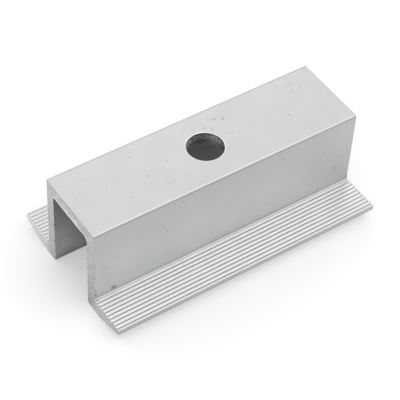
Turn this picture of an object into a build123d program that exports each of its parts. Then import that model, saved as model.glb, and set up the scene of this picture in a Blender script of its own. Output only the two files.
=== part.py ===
from build123d import *

import os
from math import radians, tan

# Solar mid clamp: one length of extruded aluminium hat section, sawn at both ends and drilled
# once. Millimetres. X runs along the length, Y across it, Z up from the undersides it stands on.

# Overall section
clamp_length = 72.0
clamp_height = 25.5
hat_width = 20.3
wall_thickness = 2.8
web_thickness = 3.3

# Corners of the hat, front being -Y and back +Y: the die cut the back inner corner nearly sharp
hat_edge_radius = 0.15
front_inner_radius = 1.6
back_inner_radius = 0.5
foot_radius = 0.8

# Flanges, which are flat under the walls and then thin out to a rounded tip
flange_reach = 10.6
flange_height = 4.1
foot_reach = 1.75
tip_thickness = 1.8
underside_blend_radius = 8.0
tip_top_radius = 0.15
tip_bottom_radius = 0.8
root_radius = 0.15

# Gripping ribs, left between V grooves that run the whole length of each flange
rib_pitch = 1.075
rib_groove_width = 0.45
rib_groove_depth = 0.5
rib_edge_radius = 0.08
rib_groove_radius = 0.08
first_groove_gap = 1.075
least_tip_land = 0.3

# Fine line that the die leaves along the root of each flange
root_line_gap = 0.4
root_line_width = 0.24
root_line_depth = 0.1

# Bolt hole through the middle of the web, deburred on top
bolt_hole_diameter = 9.0
deburr = 0.1

wall_face = hat_width / 2
inner_face = wall_face - wall_thickness
tip_face = wall_face + flange_reach
web_underside = clamp_height - web_thickness


def groove(start, width, depth, edge_radius, bottom_radius):
    """Corners of one V groove cut down from the flange top, from the wall side outwards."""
    return [
        (start, flange_height, edge_radius),
        (start + width / 2, flange_height - depth, bottom_radius),
        (start + width, flange_height, edge_radius),
    ]


def ribbed_top():
    """Corners of one flange's top: the root line, then as many grooves as the flange takes."""
    corners = groove(wall_face + root_line_gap, root_line_width, root_line_depth, 0, 0)
    first = wall_face + first_groove_gap
    room = tip_face - least_tip_land - rib_groove_width - first
    for index in range(int(room / rib_pitch) + 1):
        start = first + index * rib_pitch
        corners += groove(start, rib_groove_width, rib_groove_depth, rib_edge_radius, rib_groove_radius)
    return corners


def half_outline(inner_radius):
    """Corners (y, z, radius) of one half of the section, from the web's outer edge round to its underside."""
    return [
        (wall_face, clamp_height, hat_edge_radius),
        (wall_face, flange_height, root_radius),
        *ribbed_top(),
        (tip_face, flange_height, tip_top_radius),
        (tip_face, flange_height - tip_thickness, tip_bottom_radius),
        (wall_face + foot_reach, 0, underside_blend_radius),
        (inner_face, 0, foot_radius),
        (inner_face, web_underside, inner_radius),
    ]


def rounded_face(corners):
    """Face inside the corners, each rounded to its radius or as far as its two sides allow."""
    points = [Vector(y, z) for y, z, radius in corners]
    radii = []
    for index, (y, z, radius) in enumerate(corners):
        here = points[index]
        before = points[index - 1] - here
        after = points[(index + 1) % len(points)] - here
        half_turn = radians(180 - before.get_angle(after)) / 2
        most = 0.49 * min(before.length, after.length) / tan(half_turn)
        radii.append(min(radius, most))
    with BuildSketch(Plane.YZ) as face:
        with BuildLine():
            FilletPolyline(*points, radius=radii, close=True)
        make_face()
    return face.sketch


def hat_section():
    """Whole section: the back half, and the front half mirrored and taken the other way round."""
    back = half_outline(back_inner_radius)
    front = [(-y, z, radius) for y, z, radius in reversed(half_outline(front_inner_radius))]
    return rounded_face(back + front)


def bolt_hole():
    """Path of the drill down from the web's top and the small cone that deburrs its mouth, to cut away."""
    radius = bolt_hole_diameter / 2
    top = Plane.XY.offset(clamp_height)
    drill = extrude(top * Circle(radius), -clamp_height)
    mouth = loft([top * Circle(radius + deburr), top.offset(-deburr) * Circle(radius)])
    return drill + mouth


clamp_body = extrude(hat_section(), clamp_length / 2, both=True) - bolt_hole()

os.makedirs("parts", exist_ok=True)
export_step(clamp_body, "parts/clamp_body.step")
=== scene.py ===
from math import cos, pi, radians, sin

import bmesh
import bpy
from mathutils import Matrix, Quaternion, Vector, noise


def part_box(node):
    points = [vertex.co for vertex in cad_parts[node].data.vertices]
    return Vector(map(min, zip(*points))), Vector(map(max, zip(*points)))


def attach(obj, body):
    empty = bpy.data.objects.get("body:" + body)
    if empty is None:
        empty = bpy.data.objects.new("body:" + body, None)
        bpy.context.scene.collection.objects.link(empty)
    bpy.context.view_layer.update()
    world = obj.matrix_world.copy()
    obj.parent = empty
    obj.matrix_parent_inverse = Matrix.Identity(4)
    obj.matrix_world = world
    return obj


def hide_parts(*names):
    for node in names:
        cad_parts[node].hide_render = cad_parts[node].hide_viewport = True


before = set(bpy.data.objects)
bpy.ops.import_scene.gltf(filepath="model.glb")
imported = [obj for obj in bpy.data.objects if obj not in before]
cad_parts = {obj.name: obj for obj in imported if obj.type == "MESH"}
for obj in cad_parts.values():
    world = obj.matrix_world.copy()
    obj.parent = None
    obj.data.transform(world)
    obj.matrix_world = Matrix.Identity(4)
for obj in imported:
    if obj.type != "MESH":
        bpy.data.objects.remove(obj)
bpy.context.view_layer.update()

scene = bpy.context.scene
mm = 0.001

# Extruded body: one length of aluminium pushed through a die, a hat with a ribbed flange along each
# side. The die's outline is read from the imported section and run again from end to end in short
# steps, so that the saw's burr, the broken edges and the knocks on the ribs are in the metal itself.
low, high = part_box("clamp_body")
same_place = 1e-4 * mm
same_plane = 1e-3 * mm
wall_inner = 7.35
web_under = 22.2
burr_above = 1
rib_crest = 4.1
rib_reach = 0.7
ribs_from = 10.85
ribs_to = 20.5
longest_side = 0.6 * mm
plain_step = 2.4
least_step = 0.01
end_steps = (0, 0.03, 0.08, 0.15, 0.25, 0.4, 0.7, 1.3)
slow_waves = 0.9
quick_waves = 2.9
quick_share = 0.6
broken_edge = 0.06
broken_reach = 0.15
broken_base = 0.75
broken_share = 0.6
web_burr = 0.2
leg_burr = 0.05
burr_base = 0.55
burr_reach = 0.3
touch = 0.02
# Each knock is where it lies on a rib, how deep it goes and how far it reaches, in millimetres.
knocks = [
    (-35.5, -10.75, 0.15, 0.25),
    (-11.6, -13.4, 0.24, 0.32),
    (8.9, -12.4, 0.18, 0.3),
    (23.5, 15.2, 0.2, 0.35),
]
knock_steps = (-1, -0.6, -0.3, 0, 0.3, 0.6, 1)
finishes = ["extruded_face", "grip_rib", "sawn_end", "drilled_bore"]


def die_outline():
    """Points (y, z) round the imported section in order, taken at its near end."""
    mesh = bmesh.new()
    mesh.from_mesh(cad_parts["clamp_body"].data)
    bmesh.ops.remove_doubles(mesh, verts=mesh.verts, dist=same_place)
    end_faces = {face for face in mesh.faces if all(abs(v.co.x - low.x) < same_plane for v in face.verts)}
    beside = {}
    for edge in mesh.edges:
        if sum(face in end_faces for face in edge.link_faces) == 1:
            for one, other in (edge.verts, reversed(edge.verts)):
                beside.setdefault(one, []).append(other)
    here = min(beside, key=lambda v: (v.co.y, v.co.z))
    before = beside[here][0]
    points = []
    while not points or here.co.yz != points[0]:
        points.append(here.co.yz)
        step = next(v for v in beside[here] if v is not before)
        before, here = here, step
    mesh.free()
    return points


def with_short_sides(points):
    """The same outline with its long straight sides cut into short ones."""
    result = []
    for here, after in zip(points, points[1:] + points[:1]):
        count = int((after - here).length / longest_side) + 1
        result += [here.lerp(after, k / count) for k in range(count)]
    return result


def outward_ways(points):
    """For each point of the outline, the way that leads straight out of the metal."""
    twice_area = sum(a.x * b.y - b.x * a.y for a, b in zip(points, points[1:] + points[:1]))
    turn = 1 if twice_area > 0 else -1
    result = []
    for before, after in zip(points[-1:] + points[:-1], points[1:] + points[:1]):
        along = (after - before).normalized() * turn
        result.append(Vector((0, along.y, -along.x)))
    return result


outline = with_short_sides(die_outline())
outward = outward_ways(outline)


def steps_along():
    """Places along X where the outline is set down: close together at the ends and the knocks."""
    first, last = low.x / mm, high.x / mm
    places = {first + step for step in end_steps} | {last - step for step in end_steps}
    start, stop = first + end_steps[-1], last - end_steps[-1]
    count = round((stop - start) / plain_step)
    places |= {start + (stop - start) * k / count for k in range(count)}
    for x, _, _, reach in knocks:
        places |= {x + reach * k for k in knock_steps if first < x + reach * k < last}
    places = sorted(places)
    return [x for x, after in zip(places, places[1:] + [2 * last]) if after - x > least_step]


def worked(x, index):
    """One point of the outline at x, with the saw's edge and burr and the knocks worked in."""
    y, z = outline[index] / mm
    place = Vector((x, y, z))
    from_end = min(x - low.x / mm, high.x / mm - x)
    uneven = noise.noise(place * slow_waves) + quick_share * noise.noise(place * quick_waves)
    if abs(y) < wall_inner + touch and burr_above < z < web_under + touch:
        burr = web_burr if z > web_under - burr_reach else leg_burr
        burr *= max(0, burr_base + uneven)
        place += outward[index] * burr * max(0, 1 - from_end / burr_reach) ** 2
    else:
        darker_bands_and_nicks = broken_edge * (broken_base + broken_share * uneven)
        place -= outward[index] * darker_bands_and_nicks * max(0, 1 - from_end / broken_reach) ** 2
    for knock_x, knock_y, depth, reach in knocks:
        away = Vector((x - knock_x, y - knock_y)).length / reach
        if away < 1 and z > rib_crest - 1:
            place.z -= depth * (1 - away * away) ** 2
    return place * mm


body = bmesh.new()
rings = [[body.verts.new(worked(x, index)) for index in range(len(outline))] for x in steps_along()]
for ring, after in zip(rings, rings[1:]):
    for k in range(len(outline)):
        following = (k + 1) % len(outline)
        face = body.faces.new((ring[k], ring[following], after[following], after[k]))
        y, z = (outline[k] + outline[following]) / 2 / mm
        on_ribs = ribs_from < abs(y) < ribs_to and z > rib_crest - rib_reach
        face.material_index = finishes.index("grip_rib" if on_ribs else "extruded_face")
ends = [body.faces.new(rings[0]), body.faces.new(rings[-1])]
for face in ends:
    face.material_index = finishes.index("sawn_end")
bmesh.ops.recalc_face_normals(body, faces=body.faces)
bmesh.ops.triangulate(body, faces=ends)
clamp = bpy.data.objects.new("clamp", bpy.data.meshes.new("clamp"))
scene.collection.objects.link(clamp)
body.to_mesh(clamp.data)
body.free()
for name in finishes:
    clamp.data.materials.append(bpy.data.materials.new(name))
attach(clamp, "root")
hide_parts("clamp_body")


# Satin finish of the extruded faces: grey aluminium with fine lines drawn along it by the die, soft
# clouds of oxide, and the small specks, scuffs and spots that handling has left. A painted highlight
# runs along the top's front edge, and painted shade lies along the walls, edges and channel.
satin = (0.522, 0.530, 0.534)
satin_pale = (0.534, 0.542, 0.545)
satin_dull = (0.509, 0.518, 0.523)
# Pale colour for edges rubbed bright, and for the painted highlight along the top's front edge.
pale_rubbed_and_highlight = (0.9, 0.9, 0.9)
# Dark grey of oxide, dirt and specks, also used for painted shade.
oxide_and_shade = (0.16, 0.165, 0.165)
top = high.z / mm
tip = high.y / mm
near = low.x / mm
wall_outer = 10.15
front = -wall_outer
root_line_at = 10.67
bore_radius = 4.5


def node(tree, kind, inputs=(), **settings):
    """Adds a shader node. An input is a value, or a socket to join."""
    made = tree.nodes.new("ShaderNode" + kind)
    for name, value in settings.items():
        setattr(made, name, value)
    for name, value in dict(inputs).items():
        if isinstance(value, bpy.types.NodeSocket):
            tree.links.new(value, made.inputs[name])
        else:
            made.inputs[name].default_value = value
    return made


def maths(tree, operation, first, second=0.0):
    return node(tree, "Math", {0: first, 1: second}, operation=operation).outputs[0]


def vector_maths(tree, operation, first, second=(0, 0, 0)):
    """Vector maths, which gives a number for LENGTH and a vector for the rest."""
    made = node(tree, "VectorMath", {0: first, 1: second}, operation=operation)
    return made.outputs["Value" if operation == "LENGTH" else "Vector"]


def times(tree, *masks):
    """The masks and plain numbers multiplied together."""
    total = masks[0]
    for mask in masks[1:]:
        total = maths(tree, "MULTIPLY", total, mask)
    return total


def strongest(tree, *masks):
    """The greatest of the masks at each place."""
    total = masks[0]
    for mask in masks[1:]:
        total = maths(tree, "MAXIMUM", total, mask)
    return total


def blend_values(tree, share, first, second):
    return node(tree, "Mix", {0: share, 2: first, 3: second}, data_type="FLOAT").outputs[0]


def blend_colours(tree, share, first, second):
    """Mixes two colours. Each is a socket, or its red, green and blue."""
    first, second = [(*colour, 1) if isinstance(colour, tuple) else colour for colour in (first, second)]
    return node(tree, "Mix", {0: share, 6: first, 7: second}, data_type="RGBA").outputs[2]


def fade(tree, value, none_at, full_at):
    """A mask that is 0 at one value and 1 at another, smooth between."""
    limits = {"Value": value, "From Min": none_at, "From Max": full_at}
    return node(tree, "MapRange", limits, interpolation_type="SMOOTHSTEP").outputs[0]


def clouds(tree, place, size, detail=2.0, stretch=(1, 1, 1)):
    """Soft noise about 0.5, with clouds of about the size given in millimetres."""
    scaled = vector_maths(tree, "MULTIPLY", place, stretch)
    return node(tree, "TexNoise", {"Vector": scaled, "Scale": 1 / size, "Detail": detail}).outputs["Fac"]


def new_group(name, inputs, outputs):
    """An empty node group with its sockets, and its two ends."""
    tree = bpy.data.node_groups.new(name, "ShaderNodeTree")
    for way, sockets in (("INPUT", inputs), ("OUTPUT", outputs)):
        for socket, kind in sockets.items():
            tree.interface.new_socket(socket, in_out=way, socket_type="NodeSocket" + kind)
    return tree, tree.nodes.new("NodeGroupInput").outputs, tree.nodes.new("NodeGroupOutput").inputs


def use_group(tree, group, **inputs):
    """Places a group with its own values, and gives its outputs."""
    placed = tree.nodes.new("ShaderNodeGroup")
    placed.node_tree = group
    for name, value in inputs.items():
        if isinstance(value, bpy.types.NodeSocket):
            tree.links.new(value, placed.inputs[name])
        else:
            placed.inputs[name].default_value = value
    return placed.outputs


def millimetres(tree):
    """Place on the clamp in millimetres, whole and as its x, y and z."""
    object_place = tree.nodes.new("ShaderNodeTexCoord").outputs["Object"]
    place = node(tree, "VectorMath", {0: object_place, "Scale": 1 / mm}, operation="SCALE").outputs[0]
    return place, node(tree, "SeparateXYZ", {0: place}).outputs


def die_lines_group():
    """Lines along the extrusion: fine ones close together, and a few broad ones."""
    outputs = {"Streaks": "Float", "Height": "Float"}
    tree, given, result = new_group("die lines", {"Place": "Vector"}, outputs)
    fine = clouds(tree, given["Place"], 0.09, 2.0, (0.006, 1, 1))
    broad = clouds(tree, given["Place"], 0.9, 3.0, (0.012, 1, 1))
    tree.links.new(broad, result["Streaks"])
    tree.links.new(maths(tree, "ADD", fine, times(tree, broad, 0.6)), result["Height"])
    return tree


def specks_group():
    """Small dark specks strewn over a face, each in its own cell, and few of the cells filled."""
    sockets = {"Place": "Vector", "Spacing": "Float", "Share": "Float", "Size": "Float"}
    tree, given, result = new_group("specks", sockets, {"Mask": "Float"})
    bent = node(tree, "TexNoise", {"Vector": given["Place"], "Scale": 2.0}).outputs["Color"]
    moved = vector_maths(tree, "ADD", bent, given["Place"])
    scale = maths(tree, "DIVIDE", 1.0, given["Spacing"])
    cells = node(tree, "TexVoronoi", {"Vector": moved, "Scale": scale}).outputs
    chance = node(tree, "SeparateColor", {0: cells["Color"]}).outputs
    reach = times(tree, maths(tree, "DIVIDE", given["Size"], given["Spacing"]), chance[1])
    filled = maths(tree, "LESS_THAN", chance[0], given["Share"])
    tree.links.new(times(tree, fade(tree, cells["Distance"], reach, 0.0), filled), result["Mask"])
    return tree


def scuffs_group():
    """Hair scratches in two directions, broken up into patches."""
    tree, given, result = new_group("scuffs", {"Place": "Vector", "Amount": "Float"}, {"Mask": "Float"})
    sets = []
    for turn, patch in ((0.5, 3.0), (2.2, 4.0)):
        turned = node(tree, "VectorRotate", {0: given["Place"], "Angle": turn}, rotation_type="Z_AXIS")
        line = clouds(tree, turned.outputs[0], 0.35, 1.0, (0.12, 1, 1))
        hair = fade(tree, maths(tree, "ABSOLUTE", maths(tree, "SUBTRACT", line, 0.5)), 0.012, 0.0)
        sets.append(times(tree, hair, fade(tree, clouds(tree, given["Place"], patch), 0.56, 0.7)))
    tree.links.new(times(tree, strongest(tree, *sets), given["Amount"]), result["Mask"])
    return tree


# Each spot is its place, how far it reaches along each axis, in millimetres, and how dark it is.
spots = [
    ((6.6, 6.4, top), (0.7, 0.5, 1), 0.28),
    ((8.5, 5.4, top), (0.5, 0.6, 1), 0.3),
    ((7.7, 0.65, top), (0.7, 0.22, 1), 0.3),
    ((3.0, 5.1, top), (0.8, 0.3, 1), 0.3),
    ((4.4, 3.7, top), (0.4, 0.5, 1), 0.3),
    ((3.2, 6.4, top), (0.5, 0.7, 1), 0.1),
    ((-10.1, 0.8, top), (0.35, 0.4, 1), 0.32),
    ((-16.6, 5.9, top), (0.3, 0.7, 1), 0.16),
    ((-33.6, 0.9, top), (0.3, 1.1, 1), 0.13),
    ((-31.4, 0.4, top), (0.25, 0.8, 1), 0.1),
    ((-28.3, 5.6, top), (0.4, 0.5, 1), 0.12),
    ((-25.8, 1.3, top), (0.4, 0.7, 1), 0.1),
    ((-22.4, -4.4, top), (0.5, 0.7, 1), 0.13),
    ((-12.6, -5.2, top), (1.7, 0.5, 1), 0.1),
    ((-16.0, -1.0, top), (0.7, 0.9, 1), 0.1),
    ((-8.6, -5.3, top), (0.3, 0.3, 1), 0.2),
    ((-9.5, -2.5, top), (0.5, 0.5, 1), 0.1),
    ((12.8, 0.5, top), (0.5, 0.4, 1), 0.1),
    ((13.6, 4.1, top), (0.5, 0.5, 1), 0.08),
    ((17.3, 0.4, top), (0.45, 0.6, 1), 0.12),
    ((22.5, -1.6, top), (0.4, 0.4, 1), 0.2),
    ((18.4, 6.5, top), (0.3, 0.5, 1), 0.16),
    ((25.3, 8.7, top), (0.25, 1.3, 1), 0.16),
    ((28.5, 6.6, top), (1.9, 0.9, 1), 0.08),
    ((27.7, 4.6, top), (0.5, 0.5, 1), 0.12),
    ((30.3, 4.8, top), (0.7, 0.5, 1), 0.12),
    ((34.8, -0.8, top), (0.25, 1.0, 1), 0.16),
    ((-30.9, front, 5.3), (0.95, 1, 0.85), 0.55),
    ((-35.6, front, 5.6), (0.35, 1, 0.45), 0.85),
    ((-35.7, front, 6.9), (0.3, 1, 0.4), 0.6),
    ((-35.8, front, 11.4), (0.25, 1, 0.8), 0.35),
    ((-35.8, front, 15.6), (0.25, 1, 1.3), 0.3),
    ((-16.7, front, 16.0), (0.35, 1, 0.6), 0.3),
    ((-17.8, front, 18.0), (0.3, 1, 1.2), 0.14),
    ((-18.6, front, 15.0), (0.25, 1, 0.5), 0.14),
    ((-14.8, front, 24.0), (0.45, 1, 0.6), 0.2),
    ((-16.9, front, 7.8), (0.4, 1, 0.5), 0.2),
    ((-9.2, front, 13.0), (0.6, 1, 0.6), 0.08),
    ((-33.2, front, 12.5), (1.8, 1, 3.0), 0.07),
    ((-30.6, front, 15.6), (0.6, 1, 0.9), 0.12),
    ((31.4, front, 10.0), (0.6, 1, 1.3), 0.14),
    ((26.3, front, 14.7), (0.7, 1, 0.4), 0.12),
    ((28.8, front, 14.9), (0.45, 1, 0.6), 0.14),
    ((33.4, front, 13.0), (0.5, 1, 1.0), 0.12),
    ((11.8, front, 16.3), (0.9, 1, 0.3), 0.1),
    ((2.2, front, 14.0), (0.5, 1, 0.6), 0.1),
    ((35.7, front, 17.3), (0.4, 1, 0.8), 0.2),
    ((35.7, front, 5.0), (0.4, 1, 0.8), 0.5),
    ((36.0, -20.75, 3.1), (0.5, 1, 1.2), 0.4),
    ((near, 12.0, 1.1), (1, 0.35, 0.3), 0.7),
    ((near, 18.9, 3.5), (1, 0.4, 0.3), 0.5),
    ((near, -19.9, 3.3), (1, 0.3, 0.3), 0.4),
    ((near, 7.5, 12.7), (1, 0.3, 0.4), 0.9),
    ((near, 7.5, 7.2), (1, 0.3, 0.4), 0.8),
    # The next spot darkens the whole end of the back leg as painted shade; the three after it are broad
    # darker patches on the web's end.
    ((near, 9.0, 12.0), (0.2, 5.0, 16.0), 0.13),
    ((near, -5.3, 23.2), (0.2, 3.2, 1.6), 0.16),
    ((near, 0.0, 24.9), (0.2, 4.5, 1.1), 0.1),
    ((near, 5.2, 22.8), (0.2, 2.8, 0.9), 0.12),
    ((-35.6, 18.8, 4.1), (0.4, 0.4, 1), 0.4),
    ((-35.4, -10.75, 4.1), (0.35, 0.3, 1), 0.9),
]


def spots_group():
    """The spots listed above, each with a soft uneven edge."""
    tree, given, result = new_group("spots", {"Place": "Vector"}, {"Mask": "Float"})
    uneven = clouds(tree, given["Place"], 0.35)
    masks = []
    for place, reach, darkness in spots:
        away = vector_maths(tree, "SUBTRACT", given["Place"], place)
        away = vector_maths(tree, "LENGTH", vector_maths(tree, "DIVIDE", away, reach))
        masks.append(times(tree, fade(tree, maths(tree, "ADD", away, uneven), 1.5, 0.9), darkness))
    tree.links.new(strongest(tree, *masks), result["Mask"])
    return tree


die_lines = die_lines_group()
specks = specks_group()
scuffs = scuffs_group()
listed_spots = spots_group()


def start_finish(name, colour, roughness):
    """The named material with its shader's even values set."""
    material = bpy.data.materials[name]
    material.use_nodes = True
    shader = material.node_tree.nodes["Principled BSDF"]
    shader.inputs["Base Color"].default_value = (*colour, 1)
    shader.inputs["Metallic"].default_value = 1
    shader.inputs["Roughness"].default_value = roughness
    return material.node_tree, shader


def join_bump(tree, shader, height, depth, strength=1.0):
    """Bends the normal as the height does, where a height of 1 is the depth given in millimetres."""
    bump = node(tree, "Bump", {"Height": height, "Distance": depth * mm, "Strength": strength})
    tree.links.new(bump.outputs[0], shader.inputs["Normal"])


def edge_marks(tree, place, y, z):
    """Two masks for the body's edges: where they are rubbed bright or carry a painted highlight, and
    where painted shade, darker lines and blotches lie along them.
    """
    across = maths(tree, "ABSOLUTE", y)
    on_top = fade(tree, z, top - 0.1, top - 0.05)
    on_strip = times(tree, fade(tree, across, wall_outer + 0.01, wall_outer + 0.15),
                     fade(tree, z, rib_crest - 0.2, rib_crest - 0.08))
    from_line = maths(tree, "ABSOLUTE", maths(tree, "SUBTRACT", across, root_line_at))
    off_line = fade(tree, from_line, 0.08, 0.14)
    # Painted highlight: a thin bright line along the top's front edge.
    front_edge_highlight = times(tree, fade(tree, y, front + 0.6, front + 0.35),
                       fade(tree, y, front + 0.03, front + 0.15), 0.85)
    from_hole = vector_maths(tree, "LENGTH", vector_maths(tree, "MULTIPLY", place, (1, 1, 0)))
    rim = fade(tree, from_hole, bore_radius + 0.4, bore_radius + 0.22)
    rubbed_and_highlight = strongest(tree, times(tree, strongest(tree, front_edge_highlight, rim), on_top),
                       times(tree, on_strip, off_line, 1.8))

    # Painted shade on the outer walls: a thin shadow line under the top edge, darker at the foot by the
    # ribs, and darker towards the bottom.
    under_edge_shadow = times(tree, fade(tree, z, top - 0.8, top - 0.45),
                       fade(tree, z, top + 0.02, top - 0.06), 1.45)
    foot_painted_shade = times(tree, fade(tree, z, rib_crest + 1.2, rib_crest + 0.4),
                    fade(tree, z, rib_crest - 0.02, rib_crest + 0.15))
    low_wall_painted_shade = times(tree, fade(tree, z, 16.0, 7.0), 0.25)
    wall_painted_shade = times(tree, fade(tree, across, wall_outer - 0.03, wall_outer - 0.01),
                    strongest(tree, under_edge_shadow, foot_painted_shade, low_wall_painted_shade))
    # Painted shade along the top's back edge.
    back_edge_painted_shade = times(tree, on_top, fade(tree, y, wall_outer - 0.7, wall_outer - 0.4), 0.9)
    # Painted shade at the top of each flange tip's outer face.
    tip_corner_painted_shade = times(tree, fade(tree, across, tip - 0.25, tip - 0.15),
                   fade(tree, z, rib_crest - 0.4, rib_crest - 0.25))
    in_line = times(tree, on_strip, maths(tree, "SUBTRACT", 1.0, off_line))
    # In the channel: painted shade along the lower edge of its inner faces, and darker blotches.
    low_edge_painted_shade = times(tree, fade(tree, z, 1.3, 0.5), 1.6)
    blotch = times(tree, fade(tree, clouds(tree, place, 2.2, 3.0), 0.52, 0.66), 0.7)
    channel_shade_and_blotches = times(tree, strongest(tree, low_edge_painted_shade, blotch),
                       fade(tree, across, wall_inner + 0.3, wall_inner + 0.1),
                       fade(tree, z, web_under, web_under - 1))
    return rubbed_and_highlight, strongest(tree, wall_painted_shade, back_edge_painted_shade, tip_corner_painted_shade, in_line, channel_shade_and_blotches)


def extruded_face():
    tree, shader = start_finish("extruded_face", satin, roughness=0.38)
    place, (_, y, z) = millimetres(tree)
    lines = use_group(tree, die_lines, Place=place)
    cloud = fade(tree, clouds(tree, place, 6.0, 3.0), 0.25, 0.75)
    speck = use_group(tree, specks, Place=place, Spacing=2.2, Share=0.22, Size=0.3)["Mask"]
    scuff = use_group(tree, scuffs, Place=place, Amount=0.35)["Mask"]
    spot = use_group(tree, listed_spots, Place=place)["Mask"]
    dirt = strongest(tree, spot, times(tree, speck, 0.3), times(tree, scuff, 0.3))
    rubbed_and_highlight, painted_shade_and_dark_marks = edge_marks(tree, place, y, z)
    colour = blend_colours(tree, cloud, satin_dull, satin_pale)
    colour = blend_colours(tree, dirt, colour, oxide_and_shade)
    # Edges rubbed bright, with the painted highlight on the top's front edge.
    colour = blend_colours(tree, times(tree, rubbed_and_highlight, 0.3), colour, pale_rubbed_and_highlight)
    # Painted shade, darker lines and blotches along the edges and in the channel.
    colour = blend_colours(tree, times(tree, painted_shade_and_dark_marks, 0.25), colour, oxide_and_shade)
    tree.links.new(colour, shader.inputs["Base Color"])
    rough = maths(tree, "ADD", 0.34, times(tree, lines["Streaks"], 0.08))
    rough = maths(tree, "ADD", rough, times(tree, dirt, 0.3))
    tree.links.new(rough, shader.inputs["Roughness"])
    grain = times(tree, clouds(tree, place, 0.12, 3.0), 1.2)
    height = maths(tree, "ADD", lines["Height"], grain)
    height = maths(tree, "SUBTRACT", height, times(tree, scuff, 1.5))
    join_bump(tree, shader, height, depth=0.003)


extruded_face()


# Ribs of the flanges: the die's V grooves leave them, and the module frames bite on them. Their
# colours are lit and shaded copies: on the front flange the crests are pale, partly rubbed bright and
# partly painted highlight, over plain grooves; on the back flange the crests are darker as painted
# shade and the grooves pale as painted light, and the front flange's far corner leans the same way.
rib_pitch = 1.075
first_groove = 11.45
# Front crests pale as rubbed metal and painted highlight; back crests darker as painted shade; back
# grooves pale as painted light.
front_crest_rubbed_and_highlight = (0.97, 0.975, 0.97)
back_crest_shaded = (0.59, 0.595, 0.595)
groove = (0.52, 0.532, 0.54)
back_groove_lit = (0.96, 0.965, 0.965)
# Where the back flange's painted tones spread onto the front flange's far corner.
corner_slant = 0.73
corner_from = 34.0
corner_to = 50.0
end = high.x / mm


def grip_rib():
    tree, shader = start_finish("grip_rib", front_crest_rubbed_and_highlight, roughness=0.5)
    place, (x, y, z) = millimetres(tree)
    lines = use_group(tree, die_lines, Place=place)
    from_groove = maths(tree, "SUBTRACT", maths(tree, "ABSOLUTE", y), first_groove)
    from_groove = maths(tree, "FRACT", maths(tree, "DIVIDE", from_groove, rib_pitch))
    from_crest = maths(tree, "ABSOLUTE", maths(tree, "SUBTRACT", from_groove, 0.5))
    shoulder = fade(tree, from_crest, 0.1, 0.4)
    deep = fade(tree, z, rib_crest - 0.1, rib_crest - 0.28)
    uneven = fade(tree, clouds(tree, place, 1.2, 3.0, (0.3, 1, 1)), 0.3, 0.7)
    # Painted light and shade by place: the back flange takes a darker crest and a pale groove, and the
    # far corner partly does too.
    back_painted_light_and_shade = fade(tree, y, -1.0, 1.0)
    toward_corner = maths(tree, "SUBTRACT", x, times(tree, y, corner_slant))
    far_corner_painted_light_and_shade = times(tree, fade(tree, toward_corner, corner_from, corner_to), 0.75)
    # Painted shade on the crests by the far end.
    far_end_painted_shade = times(tree, fade(tree, x, end - 0.7, end - 0.2), 0.2)
    bright = blend_colours(tree, strongest(tree, back_painted_light_and_shade, far_corner_painted_light_and_shade), front_crest_rubbed_and_highlight, back_crest_shaded)
    bright = blend_colours(tree, times(tree, uneven, 0.06), bright, groove)
    bright = blend_colours(tree, times(tree, shoulder, 0.3), bright, groove)
    bright = blend_colours(tree, far_end_painted_shade, bright, oxide_and_shade)
    paler = strongest(tree, back_painted_light_and_shade, times(tree, far_corner_painted_light_and_shade, 0.5))
    dull = blend_colours(tree, paler, groove, back_groove_lit)
    colour = blend_colours(tree, deep, bright, dull)
    speck = use_group(tree, specks, Place=place, Spacing=1.8, Share=0.12, Size=0.3)["Mask"]
    colour = blend_colours(tree, times(tree, speck, 0.4), colour, oxide_and_shade)
    tree.links.new(colour, shader.inputs["Base Color"])
    tree.links.new(blend_values(tree, deep, 0.36, 0.55), shader.inputs["Roughness"])
    join_bump(tree, shader, lines["Height"], depth=0.0015)


grip_rib()


# Sawn ends: a circular saw cut the length off the bar, and left a dull, clouded face of crossed
# marks, with a thin bright lip of torn metal where the blade came out under the web. The back
# flange's end is painted paler, as painted light.
sawn = (0.56, 0.563, 0.55)
sawn_dull = (0.50, 0.503, 0.488)
sawn_pale = (0.61, 0.613, 0.598)
# Pale tone laid on the back flange's end as painted light.
flange_painted_light = (0.88, 0.88, 0.868)
grain_bright = (0.84, 0.84, 0.825)
fresh_cut = (0.84, 0.84, 0.83)
saw_turn = 0.6


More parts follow.
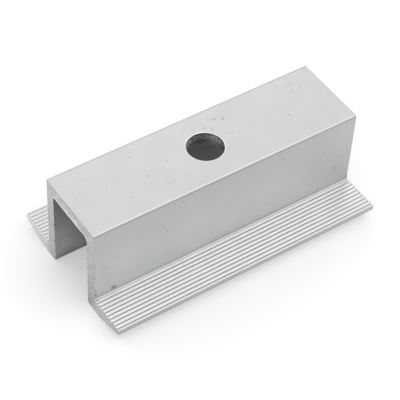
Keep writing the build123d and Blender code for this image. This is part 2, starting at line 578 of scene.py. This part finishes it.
def sawn_end():
    tree, shader = start_finish("sawn_end", sawn, roughness=0.42)
    place, (_, y, z) = millimetres(tree)
    across = maths(tree, "ABSOLUTE", y)
    cloud = fade(tree, clouds(tree, place, 1.6, 3.0), 0.3, 0.72)
    turned = node(tree, "VectorRotate", {0: place, "Angle": saw_turn}, rotation_type="X_AXIS").outputs[0]
    marks = clouds(tree, turned, 0.16, 2.0, (1, 0.05, 1))
    # Painted light on the back flange's end.
    back_flange_painted_light = times(tree, fade(tree, y, 9.6, 12.0), fade(tree, z, 5.5, 3.5))
    bright_grain = fade(tree, clouds(tree, place, 0.5, 4.0), 0.38, 0.62)
    dark_grain = fade(tree, clouds(tree, place, 0.35, 4.0), 0.52, 0.36)
    wavy = maths(tree, "ADD", z, clouds(tree, place, 1.4))
    lip = times(tree, fade(tree, wavy, web_under + 1.35, web_under + 1.05),
                fade(tree, across, wall_inner + 0.1, wall_inner - 0.4))
    # Darker bands just under the top edge and along the outer side of each wall's end, with nicks under
    # the web.
    under_top = times(tree, fade(tree, z, top - 0.85, top - 0.5), fade(tree, z, top - 0.08, top - 0.2))
    outer_side = times(tree, fade(tree, across, wall_outer - 0.4, wall_outer - 0.15),
                       fade(tree, z, rib_crest, rib_crest + 0.9))
    nicks = times(tree, fade(tree, across, wall_inner + 0.45, wall_inner + 0.1),
                  fade(tree, clouds(tree, place, 0.8), 0.52, 0.6),
                  fade(tree, z, web_under, web_under - 0.5))
    darker_edge_bands = times(tree, strongest(tree, under_top, outer_side), 0.22)
    darker_bands_and_nicks = strongest(tree, darker_edge_bands, times(tree, nicks, 0.6))
    speck = use_group(tree, specks, Place=place, Spacing=1.2, Share=0.3, Size=0.3)["Mask"]
    spot = use_group(tree, listed_spots, Place=place)["Mask"]
    colour = blend_colours(tree, cloud, sawn_dull, sawn_pale)
    colour = blend_colours(tree, times(tree, back_flange_painted_light, 0.7), colour, flange_painted_light)
    colour = blend_colours(tree, times(tree, bright_grain, 0.28), colour, grain_bright)
    colour = blend_colours(tree, times(tree, dark_grain, 0.3), colour, oxide_and_shade)
    colour = blend_colours(tree, times(tree, lip, 0.7), colour, fresh_cut)
    colour = blend_colours(tree, darker_bands_and_nicks, colour, oxide_and_shade)
    colour = blend_colours(tree, strongest(tree, spot, times(tree, speck, 0.35)), colour, oxide_and_shade)
    tree.links.new(colour, shader.inputs["Base Color"])
    tree.links.new(maths(tree, "ADD", 0.36, times(tree, marks, 0.14)), shader.inputs["Roughness"])
    height = maths(tree, "ADD", marks, times(tree, cloud, 0.8))
    join_bump(tree, shader, height, depth=0.012)


sawn_end()


# Bolt hole: drilled through the middle of the web from above, and its mouth barely deburred by hand.
# The drill tore the wall in fine rings and flecks, and left a bright cone at the mouth.
deburr = 0.1
mouth_waver = 0.02
mouth_waves = 2.5
tear = 0.02
tear_waves = 12
tear_down = 1.5
drill_sides = 144
drill_travel = 4.5
drill_above = 0.5
drill_step = 0.15
crease = radians(28)
torn_wall = (0.44, 0.445, 0.445)
torn_fleck = (0.97, 0.97, 0.965)


def drill_tool():
    """The drill's path with the deburring cone at its top, to cut away."""
    count = int((drill_travel - deburr) / drill_step)
    levels = [(top + drill_above, bore_radius + deburr + drill_above), (top, bore_radius + deburr)]
    levels += [(top - deburr - drill_step * k, bore_radius) for k in range(count + 1)]
    tool = bmesh.new()
    rows = []
    for z, radius in levels:
        row = []
        for k in range(drill_sides):
            angle = 2 * pi * k / drill_sides
            spot = Vector((cos(angle), sin(angle), 0))
            if z > top - deburr:
                uneven = mouth_waver * noise.noise(spot * mouth_waves)
            else:
                uneven = tear * noise.noise(spot * tear_waves + Vector((0, 0, z * tear_down)))
            row.append(tool.verts.new((spot * (radius + uneven) + Vector((0, 0, z))) * mm))
        rows.append(row)
    for row, below in zip(rows, rows[1:]):
        for k in range(drill_sides):
            following = (k + 1) % drill_sides
            tool.faces.new((row[k], row[following], below[following], below[k]))
    tool.faces.new(rows[0])
    tool.faces.new(rows[-1])
    for face in tool.faces:
        face.material_index = finishes.index("drilled_bore")
    bmesh.ops.recalc_face_normals(tool, faces=tool.faces)
    drill = bpy.data.objects.new("drill", bpy.data.meshes.new("drill"))
    tool.to_mesh(drill.data)
    tool.free()
    return drill


def drilled_bore():
    """Dull torn rings down the wall with bright flecks, and the bright cone at the mouth."""
    tree, shader = start_finish("drilled_bore", satin, roughness=0.4)
    place, (_, _, z) = millimetres(tree)
    rings = clouds(tree, place, 0.12, 2.0, (0.15, 0.15, 1))
    fleck = times(tree, fade(tree, clouds(tree, place, 0.42), 0.4, 0.56),
                  fade(tree, z, top - 0.4, top - 0.9), fade(tree, z, top - 2.4, top - 1.7))
    wall = blend_colours(tree, fleck, torn_wall, torn_fleck)
    mouth = fade(tree, z, top - deburr - 0.03, top - deburr + 0.03)
    tree.links.new(blend_colours(tree, mouth, wall, fresh_cut), shader.inputs["Base Color"])
    tree.links.new(blend_values(tree, mouth, 0.42, 0.5), shader.inputs["Roughness"])
    height = maths(tree, "ADD", rings, times(tree, fleck, 0.8))
    join_bump(tree, shader, height, depth=0.02, strength=0.8)


drilled_bore()
drill = drill_tool()
for name in finishes:
    drill.data.materials.append(bpy.data.materials[name])
scene.collection.objects.link(drill)
cut = clamp.modifiers.new("drilled", "BOOLEAN")
cut.operation = "DIFFERENCE"
cut.solver = "EXACT"
cut.object = drill
drilled = bpy.data.meshes.new_from_object(clamp.evaluated_get(bpy.context.evaluated_depsgraph_get()))
clamp.modifiers.clear()
clamp.data = drilled
bpy.data.objects.remove(drill)
for polygon in drilled.polygons:
    polygon.use_smooth = True
drilled.set_sharp_from_angle(angle=crease)
even = clamp.modifiers.new("even_faces", "WEIGHTED_NORMAL")
even.keep_sharp = True


# Stage: a plain pale floor that the clamp stands on, lit evenly from all round by the room and by two
# large softboxes, one high in front and one low behind. The floor glows a little, so that it is seen
# as white. The metal mirrors less of that glow under the clamp's channel: a painted shadow, lighter
# towards the channel's mouths.
floor_colour = (0.60, 0.60, 0.60)
floor_half = 3.0
floor_glow = 0.38
# Share of the mirrored glow left under the channel, as a painted shadow.
glow_in_painted_shadow = 0.2
glow_mirrored = 0.8
glow_in_mouth = 0.6
room_light = 0.85


def pale_floor():
    """A wide pale sheet. Its glow is seen by the camera and mirrored by the metal, and lights nothing.
    Under the channel the metal mirrors less of it, as a painted shadow.
    """
    floor = bpy.data.objects.new("floor", bpy.data.meshes.new("floor"))
    corners = [(x * floor_half, y * floor_half, 0) for x, y in ((-1, -1), (1, -1), (1, 1), (-1, 1))]
    floor.data.from_pydata(corners, [], [(0, 1, 2, 3)])
    scene.collection.objects.link(floor)
    material = bpy.data.materials.new("floor")
    material.use_nodes = True
    tree = material.node_tree
    shader = tree.nodes["Principled BSDF"]
    shader.inputs["Base Color"].default_value = (*floor_colour, 1)
    shader.inputs["Roughness"].default_value = 1
    shader.inputs["Specular IOR Level"].default_value = 0
    shader.inputs["Emission Color"].default_value = (1, 1, 1, 1)
    ray = tree.nodes.new("ShaderNodeLightPath").outputs
    _, (x, y, _) = millimetres(tree)
    along, across = maths(tree, "ABSOLUTE", x), maths(tree, "ABSOLUTE", y)
    in_mouth = times(tree, fade(tree, along, end - 12, end - 5),
                     fade(tree, across, wall_inner - 0.85, wall_inner - 2.85), glow_in_mouth)
    # Outside the channel's footprint the full glow is mirrored; under it the glow is turned down as a
    # painted shadow that lightens towards the mouths.
    outside_painted_shadow = strongest(tree, fade(tree, along, end - 3, end + 8),
                        fade(tree, across, wall_inner - 0.05, wall_inner + 1.65), in_mouth)
    mirrored = times(tree, strongest(tree, ray["Is Glossy Ray"], ray["Is Transmission Ray"]),
                     blend_values(tree, outside_painted_shadow, glow_in_painted_shadow, glow_mirrored))
    seen = strongest(tree, ray["Is Camera Ray"], mirrored)
    tree.links.new(times(tree, seen, floor_glow), shader.inputs["Emission Strength"])
    floor.data.materials.append(material)


def softbox(name, azimuth, elevation, away, width, height, brightness):
    """A flat softbox that faces the clamp. Its face is as bright as told, where white is 1, and that
    takes a power of four times the brightness times the area."""
    data = bpy.data.lights.new(name, "AREA")
    data.shape = "RECTANGLE"
    data.size, data.size_y = width, height
    data.energy = 4 * brightness * width * height
    lamp = bpy.data.objects.new(name, data)
    flat = away * cos(radians(elevation))
    rise = away * sin(radians(elevation))
    lamp.location = (flat * cos(radians(azimuth)), flat * sin(radians(azimuth)), rise)
    lamp.rotation_mode = "QUATERNION"
    lamp.rotation_quaternion = (-lamp.location).to_track_quat("-Z", "Y")
    lamp.visible_camera = False
    scene.collection.objects.link(lamp)


pale_floor()
softbox("front_softbox", azimuth=310, elevation=57, away=1.5, width=1.5, height=1.25, brightness=0.90)
softbox("back_softbox", azimuth=85, elevation=28, away=1.7, width=2.9, height=1.9, brightness=0.55)
world = bpy.data.worlds.new("room")
world.use_nodes = True
world.node_tree.nodes["Background"].inputs["Color"].default_value = (1, 1, 1, 1)
world.node_tree.nodes["Background"].inputs["Strength"].default_value = room_light
scene.world = world
scene.view_settings.view_transform = "Standard"


# Camera: above the near end and the front, looking down the clamp's length from close by, with the
# small roll that the photograph has.
camera_place = (-0.14719, -0.19967, 0.27794)
looking = Vector((0.39982, 0.54471, -0.73718))
camera_roll = radians(-3.397)
focal_length = 139.09
sensor_width = 36

camera_data = bpy.data.cameras.new("camera")
camera_data.lens = focal_length
camera_data.sensor_width = sensor_width
camera = bpy.data.objects.new("camera", camera_data)
camera.location = camera_place
camera.rotation_mode = "QUATERNION"
camera.rotation_quaternion = Quaternion(looking, camera_roll) @ looking.to_track_quat("-Z", "Y")
scene.collection.objects.link(camera)
scene.camera = camera
